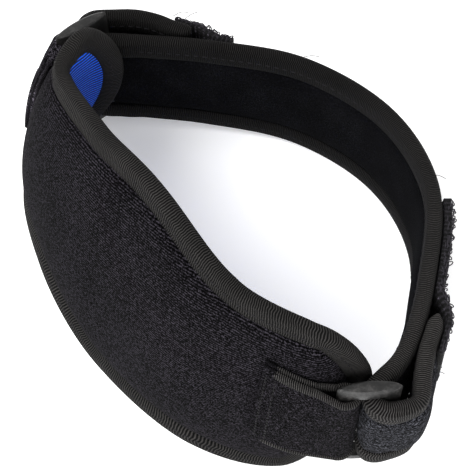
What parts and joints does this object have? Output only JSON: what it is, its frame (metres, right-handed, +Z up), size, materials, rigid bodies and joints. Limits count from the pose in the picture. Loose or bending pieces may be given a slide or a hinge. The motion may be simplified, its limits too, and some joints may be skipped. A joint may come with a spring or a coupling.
{
  "type": "patella strap",
  "caption": "Closed patella strap: tall padded front panel with bound edges, narrower back strap through two slot rings, folded back and held by hook tape.",
  "frame": {"origin": "centre of the bounding box in plan, on the floor plane the strap rests on", "axes": "+X from the left ring to the right ring, +Y from the front pad towards the back strap, +Z up"},
  "size_m": [0.1542, 0.1078, 0.0686],
  "materials": {
    "loop_fabric": "matte",
    "binding_tape": "matte",
    "blue_knit": "matte",
    "plush_lining": "matte",
    "hook_tape": "matte",
    "ring_plastic": "satin"
  },
  "bodies": {
    "root": {"pad_shell": "loop_fabric", "pad_lining": "blue_knit", "pad_binding": "binding_tape", "strap_core": "plush_lining", "strap_binding_upper": "binding_tape", "strap_binding_lower": "binding_tape", "ring_left": "ring_plastic", "ring_right": "ring_plastic", "ring_tab_left": "loop_fabric", "ring_tab_right": "loop_fabric", "hook_tab_left": "hook_tape", "hook_tab_right": "hook_tape"}
  },
  "joints": []
}
